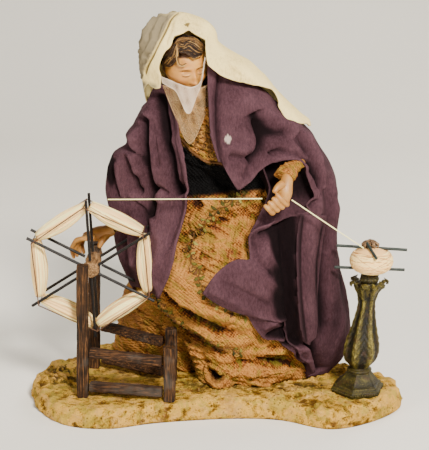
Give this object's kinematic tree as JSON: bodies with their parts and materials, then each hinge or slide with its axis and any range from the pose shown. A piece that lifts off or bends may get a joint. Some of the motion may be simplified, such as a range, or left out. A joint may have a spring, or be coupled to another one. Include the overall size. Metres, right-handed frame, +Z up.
{
  "type": "presepe figure",
  "caption": "Kneeling draped woman winding yarn from a hexagonal reel on a wooden frame onto a ball on a leafy stand, all on a sandy plinth.",
  "frame": {"origin": "middle of the plinth's underside, below the kneeling figure", "axes": "+Z up, the figure looks along -Y, the reel stands towards -X and the ball stand towards +X"},
  "size_m": [0.2628, 0.1492, 0.2755],
  "materials": {
    "sand": "rough sand-textured ochre plaster",
    "gauze": "stiffened ochre-gold gauze with vine embroidery",
    "cloak": "stiffened plum cloth",
    "veil": "stiffened cream cloth",
    "sheer": "thin sheer cloth",
    "skin": "painted satin",
    "wood": "weathered, bare",
    "hub": "light, rough",
    "rod": "dark satin",
    "string": "twisted brown string",
    "yarn": "cream wool yarn",
    "bronze": "olive-bronze paint, worn"
  },
  "bodies": {
    "root": {"plinth": "sand", "robe": "gauze", "cloak": "cloak", "head": "skin", "head_veil": "veil", "face_veil": "sheer", "neck_veil": "sheer", "right_hand": "skin", "left_hand": "skin", "post_front_tall": "wood", "post_back_tall": "wood", "post_front_short": "wood", "post_back_short": "wood", "rail_front_upper": "wood", "rail_front_lower": "wood", "rail_back_upper": "wood", "rail_back_lower": "wood", "cross_piece": "wood", "reel_hub": "hub", "reel_string": "string", "stand": "bronze", "yarn_ball": "yarn", "winder_knob": "hub", "winder_rod_upper": "rod", "winder_rod_lower": "rod", "winder_rod_front": "rod", "thread_from_reel": "yarn", "thread_to_ball": "yarn", "reel_rod_front_1": "rod", "reel_rod_back_1": "rod", "skein_1": "yarn", "reel_rod_front_2": "rod", "reel_rod_back_2": "rod", "skein_2": "yarn", "reel_rod_front_3": "rod", "reel_rod_back_3": "rod", "skein_3": "yarn", "reel_rod_front_4": "rod", "reel_rod_back_4": "rod", "skein_4": "yarn", "reel_rod_front_5": "rod", "reel_rod_back_5": "rod", "skein_5": "yarn", "reel_rod_front_6": "rod", "reel_rod_back_6": "rod", "skein_6": "yarn"}
  },
  "joints": []
}
